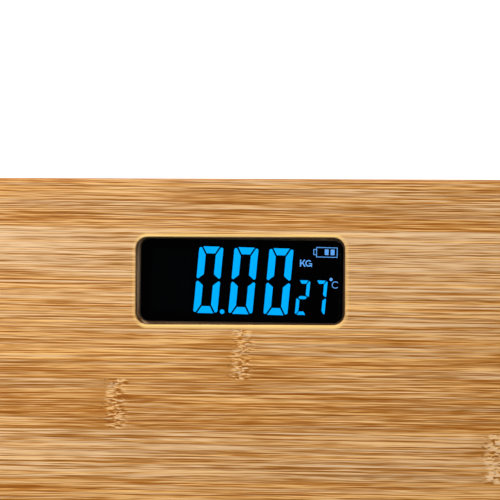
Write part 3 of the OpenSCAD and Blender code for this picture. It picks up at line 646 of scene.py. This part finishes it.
def circuit_material():
    """Green solder mask over copper tracks, which show as paler, raised lines."""
    material, graph, shader = new_material("solder_mask")
    place = graph.place()
    x, y = graph.split(place)[:2]
    low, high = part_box("main_pcb")
    pitch = 1.27 * MM
    lane = graph.math("FLOOR", graph.math("DIVIDE", y, pitch))
    start = graph.random(lane, 5.0)
    on_lane = graph.math("FRACT", graph.math("DIVIDE", y, pitch))
    in_track = graph.math("LESS_THAN", graph.math("ABSOLUTE", graph.minus(on_lane, 0.5)), 0.16)
    along = graph.math("DIVIDE", graph.minus(x, low.x), high.x - low.x)
    begun = graph.math("GREATER_THAN", along, graph.times(start, 0.6))
    ended = graph.math("LESS_THAN", along, graph.plus(graph.times(start, 0.5), 0.42))
    track = graph.times(in_track, graph.times(begun, ended))
    weave = graph.noise(place, 900.0, 2.0)
    mask = graph.mix(weave, (0.010, 0.085, 0.035), (0.016, 0.12, 0.05))
    drive(
        graph, shader, graph.mix(track, mask, (0.03, 0.22, 0.09)),
        graph.span(weave, 0.3, 0.7, 0.28, 0.4), track, 0.5, 0.04 * MM
    )
    set_plain(shader, Specular_IOR_Level=0.5)
    return material


def film_material(name, shade, roughness):
    """Thin film or clear sheet with faint ripples."""
    material, graph, shader = new_material(name)
    place = graph.place()
    ripple = graph.noise(place, 240.0, 3.0)
    other = tuple(min(1.0, c * 1.15 + 0.003) for c in shade)
    drive(
        graph, shader, graph.mix(ripple, tuple(shade), other),
        graph.span(ripple, 0.3, 0.7, roughness, roughness + 0.08), ripple, 0.05, 0.03 * MM
    )
    return material


def striped_material():
    """Rubber with fine stripes across its length, as a display connector has."""
    material, graph, shader = new_material("zebra_rubber")
    place = graph.place()
    wave = graph.math("FRACT", graph.math("DIVIDE", graph.split(place)[0], 0.36 * MM))
    stripe = graph.math("LESS_THAN", wave, 0.5)
    pits = graph.noise(place, 1800.0, 2.0)
    drive(
        graph, shader, graph.mix(stripe, (0.02, 0.02, 0.02), (0.30, 0.30, 0.31)),
        graph.span(pits, 0.3, 0.7, 0.5, 0.7), stripe, 0.2, 0.02 * MM
    )
    return material


def cell_material(node, flat_end_left):
    """Shrink film of a battery cell: a dark body, a bright band at the terminal end, steel at both ends."""
    material, graph, shader = new_material(f"{node}_jacket")
    place = graph.place()
    x = graph.split(place)[0]
    low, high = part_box(node)
    along = graph.math("DIVIDE", graph.minus(x, low.x), high.x - low.x)
    if not flat_end_left:
        along = graph.minus(1.0, along)
    scuff = graph.noise(place, 700.0, 3.0)
    jacket = graph.ramp(along, (
        (0.0, (0.60, 0.60, 0.58)), (0.012, (0.02, 0.06, 0.20)), (0.70, (0.75, 0.42, 0.10)),
        (0.93, (0.80, 0.80, 0.78)), (1.0, (0.62, 0.62, 0.60)),
    ), constant=True)
    dusted = graph.use(settled_dust(), vector=place, color=jacket, amount=0.06)
    bare_flat = graph.math("LESS_THAN", along, 0.012)
    bare_nub = graph.math("GREATER_THAN", along, 0.965)
    graph.feed(shader.inputs["Metallic"], graph.plus(bare_flat, bare_nub, clamp=True))
    drive(graph, shader, dusted["Color"], graph.span(scuff, 0.3, 0.7, 0.22, 0.36), scuff, 0.05, 0.03 * MM)
    return material


def lead_material():
    """Red insulation of the sensor and battery leads, a little uneven in tone."""
    material, graph, shader = new_material("lead_insulation")
    place = graph.place()
    wave = graph.noise(place, 500.0, 2.0)
    drive(
        graph, shader, graph.mix(wave, (0.42, 0.02, 0.015), (0.50, 0.035, 0.02)),
        graph.span(wave, 0.3, 0.7, 0.32, 0.46), wave, 0.1, 0.03 * MM
    )
    return material


# ---------------------------------------------------------------- mesh building


def slab(mesh, outline, low, high):
    """Adds a thin flat solid with that outline between two heights."""
    under = [mesh.verts.new((x, y, low)) for x, y in outline]
    over = [mesh.verts.new((x, y, high)) for x, y in outline]
    mesh.faces.new(under[::-1])
    mesh.faces.new(over)
    for i in range(len(outline)):
        j = (i + 1) % len(outline)
        mesh.faces.new((under[i], under[j], over[j], over[i]))


def arc(middle, radius, start, stop, steps):
    """Points of an arc, with angles in degrees."""
    return [
        (middle[0] + radius * math.cos(math.radians(start + (stop - start) * i / steps)),
         middle[1] + radius * math.sin(math.radians(start + (stop - start) * i / steps)))
        for i in range(steps + 1)
    ]


def band(middle, radius, width, start, stop, steps=18):
    """Outline of a bent stroke."""
    outer = arc(middle, radius + width / 2, start, stop, steps)
    inner = arc(middle, radius - width / 2, start, stop, steps)
    return outer + inner[::-1]


def stroke_outline(a, b, width):
    """Outline of a straight stroke from a to b."""
    way = Vector((b[0] - a[0], b[1] - a[1])).normalized() * width / 2
    side = Vector((-way.y, way.x))
    return [(a[0] + side.x, a[1] + side.y), (a[0] - side.x, a[1] - side.y),
            (b[0] - side.x, b[1] - side.y), (b[0] + side.x, b[1] + side.y)]


def segment_outlines(width, height, stroke, gap, cut=0.14):
    """Outlines of the seven segments of an upright digit round its middle, with a gap between neighbours.

    The upright segments' far ends are cut short by that share of a stroke's width.
    """
    w, h, s = width / 2, height / 2, stroke
    slant = 0.58
    mitre = 0.42 * s
    apart = gap * math.hypot(slant, 1.0) / 2
    foot = 0.85 * gap
    a_top = mitre + apart
    f_top = mitre - apart
    top = [(a_top - w, h), (w - a_top, h), (w - a_top - slant * s, h - s), (a_top + slant * s - w, h - s)]
    upper = [
        (-w, h - (cut + 0.22) * s), (0.06 * s - w, h - (cut + 0.06) * s), (0.18 * s - w, h - cut * s),
        (f_top + slant * cut * s - w, h - cut * s), (s - w, h - (s - f_top) / slant),
        (s - w, foot + 0.6 * s), (0.28 * s - w, foot), (0.16 * s - w, foot), (-w, foot + 0.16 * s),
    ]
    tip, lip = 0.62 * s, 0.45 * s
    middle = [
        (tip - w, 0), (tip + lip - w, lip), (w - tip - lip, lip), (w - tip, 0), (w - tip - lip, -lip),
        (tip + lip - w, -lip),
    ]

    def flipped(points, sx, sy):
        return [(sx * x, sy * y) for x, y in points]

    return {
        "a": top, "f": upper, "b": flipped(upper, -1, 1), "e": flipped(upper, 1, -1),
        "c": flipped(upper, -1, -1), "d": flipped(top, 1, -1), "g": middle,
    }


def display_place(display, x, y):
    """A place on the display's glass, which is turned slightly in its housing, in the part's frame."""
    turn = display.tilt
    return (OPENING_MIDDLE.x + display.shift[0] + x * math.cos(turn) - y * math.sin(turn),
            OPENING_MIDDLE.y + display.shift[1] + x * math.sin(turn) + y * math.cos(turn))


def add_digit(mesh, display, lit, middle, small, low, high):
    """Adds the lit segments of one leaning digit."""
    if small:
        ratio = display.small_ratio
        shapes = segment_outlines(
            display.digit_width * ratio, display.digit_height * ratio, display.small_stroke,
            display.gap * 0.6, cut=0.3,
        )
    else:
        shapes = segment_outlines(display.digit_width, display.digit_height, display.stroke, display.gap)
    lean = math.tan(display.lean)
    for name in lit:
        points = [
            display_place(display, middle[0] + x + y * lean, middle[1] + y) for x, y in shapes[name]
        ]
        slab(mesh, points, low, high)


def add_shape(mesh, display, outline, low, high):
    """Adds one flat sign of the display, given in the glass's own directions."""
    slab(mesh, [display_place(display, x, y) for x, y in outline], low, high)


def make_piece(name, mesh, material, body, smooth=False):
    """Turns finished geometry into a piece that rides on a body."""
    bmesh.ops.recalc_face_normals(mesh, faces=mesh.faces)
    data = bpy.data.meshes.new(name)
    mesh.to_mesh(data)
    mesh.free()
    for polygon in data.polygons:
        polygon.use_smooth = smooth
    data.materials.append(material)
    piece = bpy.data.objects.new(name, data)
    bpy.context.scene.collection.objects.link(piece)
    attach(piece, body)
    return piece


# ---------------------------------------------------------------- operators


class SCALE_OT_stage(bpy.types.Operator):
    """Puts up the floor, the lights and the camera."""

    bl_idname = "bathroom_scale.stage"
    bl_label = "Stage"

    def execute(self, context):
        studio = context.scene.scale_studio
        self.add_floor()
        self.add_lights(studio)
        self.add_sky(context.scene)
        self.add_camera(context.scene, studio)
        context.scene.view_settings.view_transform = "Standard"
        return {"FINISHED"}

    def add_floor(self):
        mesh = bmesh.new()
        half = 4.0
        corners = ((-half, -half), (half, -half), (half, half), (-half, half))
        mesh.faces.new([mesh.verts.new((x, y, 0)) for x, y in corners])
        data = bpy.data.meshes.new("floor")
        mesh.to_mesh(data)
        mesh.free()
        floor = bpy.data.objects.new("floor", data)
        bpy.context.scene.collection.objects.link(floor)
        material, graph, shader = new_material("studio_floor")
        paper = graph.noise(graph.place(), 400.0, 2.0)
        graph.feed(shader.inputs["Base Color"], graph.mix(paper, (0.90, 0.90, 0.90), (0.92, 0.92, 0.92)))
        set_plain(shader, Roughness=0.85, Specular_IOR_Level=0.1)
        set_plain(shader, Emission_Color=(1.0, 1.0, 1.0), Emission_Strength=0.32)
        # the floor is clear from below, so that the underside can be seen
        clear = graph.add("ShaderNodeBsdfTransparent")
        blend = graph.add("ShaderNodeMixShader")
        graph.feed(blend.inputs[0], graph.add("ShaderNodeNewGeometry").outputs["Backfacing"])
        graph.feed(blend.inputs[1], shader.outputs[0])
        graph.feed(blend.inputs[2], clear.outputs[0])
        graph.feed(material.node_tree.nodes["Material Output"].inputs["Surface"], blend.outputs[0])
        data.materials.append(material)

    def add_lights(self, studio):
        target = Vector((0.0, 0.0, BOARD_HIGH.z))
        for name, place, size, power, shade in (
            ("key", (-0.62, 0.70, 0.72), 0.5, studio.key_power, (1.0, 0.985, 0.96)),
            ("fill_right", (1.15, 0.35, 0.85), 0.8, studio.fill_power * 0.5, (0.97, 0.985, 1.0)),
            ("fill_front", (-0.15, -1.25, 0.95), 0.9, studio.fill_power, (1.0, 1.0, 1.0)),
            ("fill_rear", (0.25, 1.35, 0.75), 0.8, studio.fill_power, (1.0, 1.0, 1.0)),
        ):
            data = bpy.data.lights.new(name, "AREA")
            data.shape = "DISK"
            data.size = size
            data.energy = power
            data.color = shade
            lamp = bpy.data.objects.new(name, data)
            lamp.location = place
            lamp.rotation_euler = (Vector(place) - target).to_track_quat("Z", "Y").to_euler()
            bpy.context.scene.collection.objects.link(lamp)

    def add_sky(self, scene):
        world = bpy.data.worlds.new("studio_air")
        world.use_nodes = True
        graph = Graph(world.node_tree)
        seen = world.node_tree.nodes["Background"]
        lighting = graph.add("ShaderNodeBackground")
        seen.inputs["Color"].default_value = (0.93, 0.93, 0.93, 1.0)
        seen.inputs["Strength"].default_value = 1.0
        lighting.inputs["Color"].default_value = (1.0, 1.0, 1.0, 1.0)
        lighting.inputs["Strength"].default_value = 0.015
        blend = graph.add("ShaderNodeMixShader")
        graph.feed(blend.inputs[0], graph.add("ShaderNodeLightPath").outputs["Is Camera Ray"])
        graph.feed(blend.inputs[1], lighting.outputs[0])
        graph.feed(blend.inputs[2], seen.outputs[0])
        graph.feed(world.node_tree.nodes["World Output"].inputs["Surface"], blend.outputs[0])
        scene.world = world

    def add_camera(self, scene, studio):
        data = bpy.data.cameras.new("camera")
        data.sensor_width = 36.0
        data.lens = data.sensor_width * studio.camera_height / studio.view_width
        camera = bpy.data.objects.new("camera", data)
        camera.location = (
            studio.camera_x, BOARD_HIGH.y - studio.camera_back, BOARD_HIGH.z + studio.camera_height
        )
        camera.rotation_euler = (0.0, 0.0, studio.roll)
        data.clip_start = 0.01
        scene.collection.objects.link(camera)
        scene.camera = camera


class SCALE_OT_platform(bpy.types.Operator):
    """Finishes the bamboo platform."""

    bl_idname = "bathroom_scale.platform"
    bl_label = "Platform"

    def execute(self, context):
        finish_node(bamboo_material(context.scene.scale_bamboo), "platform")
        return {"FINISHED"}


class SCALE_OT_window(bpy.types.Operator):
    """Finishes the smoked window, its printed border and its gasket."""

    bl_idname = "bathroom_scale.window"
    bl_label = "Window"

    def execute(self, context):
        display = context.scene.scale_display
        finish_node(smoked_material(), "display_window")
        finish_node(rubber_material("gasket_foam", (0.80, 0.57, 0.35)), "window_gasket")
        self.add_border(display)
        return {"FINISHED"}

    def add_border(self, display):
        low = LENS_LOW.z - SKIN
        border = display.print_width
        ink = film_material("window_print", (0.004, 0.004, 0.005), 0.5)
        self.add_ring("window_print", ink, (
            (0.05 * MM, low), (0.05 * MM, LENS_LOW.z), (border, LENS_LOW.z), (border, low),
        ))
        # the window's ground edge is matt, unlike its clear face
        top = LENS_HIGH.z
        ground = film_material("ground_edge", (0.035, 0.024, 0.016), 0.5)
        self.add_ring("window_ground_edge", ground, (
            (-SKIN, top - LENS_EDGE), (LENS_EDGE - SKIN, top + SKIN), (LENS_EDGE + SKIN, top),
            (SKIN, top - LENS_EDGE - SKIN),
        ))

    def add_ring(self, name, material, section):
        """Adds a ring that follows the window's outline; the section holds insets and heights."""
        mesh = bmesh.new()
        rings = [
            [mesh.verts.new((x, y, height)) for x, y in self.outline(inset)] for inset, height in section
        ]
        for k, ring in enumerate(rings):
            following = rings[(k + 1) % len(rings)]
            for i in range(len(ring)):
                j = (i + 1) % len(ring)
                mesh.faces.new((ring[i], ring[j], following[j], following[i]))
        make_piece(name, mesh, material, "root")

    def outline(self, inset):
        """The window's outline, drawn in by inset, where the turned window lies."""
        points = []
        for quarter, (sx, sy) in enumerate(((1, 1), (-1, 1), (-1, -1), (1, -1))):
            middle = (sx * (LENS_HALF.x - LENS_RADIUS), sy * (LENS_HALF.y - LENS_RADIUS))
            points += arc(middle, LENS_RADIUS - inset, 90 * quarter, 90 * quarter + 90, 8)
        turned = Matrix.Rotation(LENS_TURN, 2)
        return [turned @ Vector(point) + LENS_MIDDLE.xy for point in points]


class SCALE_OT_digits(bpy.types.Operator):
    """Lights the weight, the temperature and the signs of the display."""

    bl_idname = "bathroom_scale.digits"
    bl_label = "Digits"

    def execute(self, context):
        display = context.scene.scale_display
        lit = lit_material("lit_segment", display.lit, display.glow)
        paler = lit_material("lit_sign", display.sign, display.glow * 0.8)
        low = FILM_HIGH.z + SKIN
        high = low + 0.06 * MM
        self.add_weight(display, lit, low, high)
        self.add_temperature(display, lit, low, high)
        self.add_signs(display, paler, low, high)
        self.add_unlit(display, low, high)
        return {"FINISHED"}

    def add_weight(self, display, lit, low, high):
        mesh = bmesh.new()
        first_x, row_y = -12.2 * MM, 0.33 * MM
        for i in range(3):
            middle = (first_x + i * display.digit_pitch, row_y)
            add_digit(mesh, display, "abcdef", middle, False, low, high)
        add_shape(mesh, display, arc((-6.8 * MM, -11.28 * MM), 0.84 * MM, 0, 345, 23), low, high)
        make_piece("lit_weight", mesh, lit, "root")

    def add_temperature(self, display, lit, low, high):
        mesh = bmesh.new()
        add_digit(mesh, display, "abged", (22.70 * MM, -5.28 * MM), True, low, high)
        add_digit(mesh, display, "abc", (29.07 * MM, -5.15 * MM), True, low, high)
        make_piece("lit_temperature", mesh, lit, "root")

    def add_signs(self, display, light, low, high):
        mesh = bmesh.new()

        def add(outline):
            add_shape(mesh, display, outline, low, high)

        # battery sign: its case, its terminal and two bars
        middle, w, h, line = (31.2 * MM, 11.62 * MM), 7.6 * MM, 3.5 * MM, 0.26 * MM
        left, right = middle[0] - w / 2, middle[0] + w / 2
        under, over = middle[1] - h / 2, middle[1] + h / 2
        nub, nub_h = 1.05 * MM, 0.95 * MM
        corner = line / 2
        for a, b in (
            ((left - corner, under), (right + corner, under)),
            ((left - corner, over), (right + corner, over)),
            ((left, under + corner), (left, over - corner)),
            ((right, under + corner), (right, over - corner)),
            ((left - nub, middle[1] - nub_h), (left - corner, middle[1] - nub_h)),
            ((left - nub, middle[1] + nub_h), (left - corner, middle[1] + nub_h)),
            ((left - nub, middle[1] - nub_h), (left - nub, middle[1] + nub_h)),
        ):
            add(stroke_outline(a, b, line))
        for offset in (-0.08 * MM, 2.1 * MM):
            x = middle[0] + offset
            add(stroke_outline((x, middle[1] - 0.95 * MM), (x, middle[1] + 1.1 * MM), 1.4 * MM))
        # kilogram sign
        base, top, line = 6.1 * MM, 8.7 * MM, 0.44 * MM
        k_left = 21.6 * MM
        waist = (base + top) / 2
        add(stroke_outline((k_left, base), (k_left, top), line))
        add(stroke_outline((k_left + 0.25 * MM, waist - 0.3 * MM), (k_left + 1.55 * MM, top), line))
        add(stroke_outline((k_left + 0.7 * MM, waist + 0.2 * MM), (k_left + 1.7 * MM, base), line))
        g_x = 24.6 * MM
        add(band((g_x, waist), 1.02 * MM, line, 42, 325))
        bar_y, stem_x = waist - 0.1 * MM, g_x + 1.05 * MM
        add(stroke_outline((g_x + 0.1 * MM, bar_y), (g_x + 1.25 * MM, bar_y), line * 0.85))
        add(stroke_outline((stem_x, waist - 0.2 * MM), (stem_x, base), line * 0.8))
        # degree sign and the C that follows it
        add(arc((33.0 * MM, 1.7 * MM), 0.58 * MM, 0, 342, 19))
        add(band((34.65 * MM, -0.3 * MM), 1.17 * MM, 0.27 * MM, 42, 318))
        make_piece("lit_signs", mesh, light, "root")

    def add_unlit(self, display, low, high):
        """The part of the glass without light shows as a barely paler area."""
        mesh = bmesh.new()
        left, right, under, over = -33.0 * MM, -18.8 * MM, -11.5 * MM, 11.5 * MM
        add_shape(mesh, display, [(left, under), (right, under), (right, over), (left, over)], low, high)
        dim = lit_material("unlit_area", (0.26, 0.27, 0.32), display.glow * 0.001)
        make_piece("unlit_area", mesh, dim, "root")


class SCALE_OT_module(bpy.types.Operator):
    """Finishes what is inside the display module."""

    bl_idname = "bathroom_scale.module"
    bl_label = "Display module"

    def execute(self, context):
        finish_node(plastic_material("housing_plastic", (0.020, 0.020, 0.022), 0.5), "module_case")
        finish_node(film_material("display_glass", (0.10, 0.12, 0.13), 0.08), "lcd_glass")
        finish_node(film_material("polariser_film", (0.004, 0.004, 0.006), 0.3), "lcd_polarisers")
        finish_node(film_material("light_plate", (0.82, 0.87, 0.92), 0.25), "light_guide")
        finish_node(film_material("led_package", (0.85, 0.80, 0.55), 0.3), "backlight_leds")
        finish_node(striped_material(), "zebra_strip_front", "zebra_strip_rear")
        finish_node(circuit_material(), "main_pcb")
        epoxy = plastic_material("chip_epoxy", (0.016, 0.016, 0.018), 0.45, dust=0.02)
        finish_node(epoxy, "controller_chip", "tact_switch")
        finish_node(plastic_material("small_parts", (0.28, 0.20, 0.12), 0.4, dust=0.02), "pcb_parts")
        plunger = plastic_material("plunger_plastic", (0.66, 0.65, 0.60), 0.4, dust=0.02)
        finish_node(plunger, "switch_plunger")
        return {"FINISHED"}


class SCALE_OT_batteries(bpy.types.Operator):
    """Finishes the cells and their contacts."""

    bl_idname = "bathroom_scale.batteries"
    bl_label = "Batteries"

    def execute(self, context):
        finish_node(cell_material("battery_a", True), "battery_a")
        finish_node(cell_material("battery_b", False), "battery_b")
        plated = steel_material("contact_steel", (0.70, 0.69, 0.65), 0.24)
        finish_node(plated, "contact_spring_left", "contact_plate_left", "contact_bridge")
        return {"FINISHED"}


class SCALE_OT_underside(bpy.types.Operator):
    """Finishes the underside cover, its door, the unit button and the groove covers."""

    bl_idname = "bathroom_scale.underside"
    bl_label = "Underside"

    def execute(self, context):
        black = plastic_material("underside_plastic", (0.022, 0.022, 0.024), 0.52)
        finish_node(black, "module_base", "battery_door")
        finish_node(black, *(f"wire_cover_{c}" for c in CORNERS))
        finish_node(black, *(f"foot_bracket_{c}" for c in CORNERS))
        finish_node(plastic_material("button_plastic", (0.36, 0.36, 0.38), 0.42), "unit_button")
        zinc = steel_material("screw_steel", (0.52, 0.52, 0.54), 0.32)
        finish_node(zinc, "base_screws", "foot_screws")
        return {"FINISHED"}


class SCALE_OT_feet(bpy.types.Operator):
    """Finishes the feet, their pads, the load cells and the sensor leads."""

    bl_idname = "bathroom_scale.feet"
    bl_label = "Feet"

    def execute(self, context):
        foot = plastic_material("foot_plastic", (0.026, 0.026, 0.028), 0.48)
        pad = rubber_material("pad_rubber", (0.035, 0.035, 0.037))
        ground = steel_material("load_cell_steel", (0.58, 0.58, 0.60), 0.34)
        gauge = film_material("gauge_film", (0.46, 0.22, 0.06), 0.25)
        leads = lead_material()
        finish_node(leads, "battery_leads")
        for corner in CORNERS:
            finish_node(foot, f"foot_{corner}")
            finish_node(pad, f"foot_pad_{corner}")
            finish_node(ground, f"load_cell_{corner}")
            finish_node(gauge, f"strain_gauge_{corner}")
            finish_node(leads, f"sensor_leads_{corner}")
        return {"FINISHED"}


class SCALE_PT_panel(bpy.types.Panel):
    """Lists the steps that finish the scale."""

    bl_label = "Bathroom Scale"
    bl_space_type = "VIEW_3D"
    bl_region_type = "UI"
    bl_category = "Bathroom Scale"

    def draw(self, context):
        for step in STEPS:
            self.layout.operator(step.bl_idname)
        for group in (context.scene.scale_bamboo, context.scene.scale_display, context.scene.scale_studio):
            box = self.layout.box()
            for name in group.__annotations__:
                box.prop(group, name)


GROUPS = {"scale_bamboo": ScaleBamboo, "scale_display": ScaleDisplay, "scale_studio": ScaleStudio}
STEPS = (
    SCALE_OT_stage, SCALE_OT_platform, SCALE_OT_window, SCALE_OT_digits, SCALE_OT_module,
    SCALE_OT_batteries, SCALE_OT_underside, SCALE_OT_feet,
)


def register():
    """Adds the classes and the scene's settings."""
    for kind in (*GROUPS.values(), *STEPS, SCALE_PT_panel):
        bpy.utils.register_class(kind)
    for name, group in GROUPS.items():
        setattr(bpy.types.Scene, name, PointerProperty(type=group))


def unregister():
    """Takes them away again."""
    for name in GROUPS:
        delattr(bpy.types.Scene, name)
    for kind in (SCALE_PT_panel, *reversed(STEPS), *reversed(GROUPS.values())):
        bpy.utils.unregister_class(kind)


def main():
    """Runs every step in order."""
    register()
    for step in STEPS:
        group, name = step.bl_idname.split(".")
        getattr(getattr(bpy.ops, group), name)()


if __name__ == "__main__":
    main()
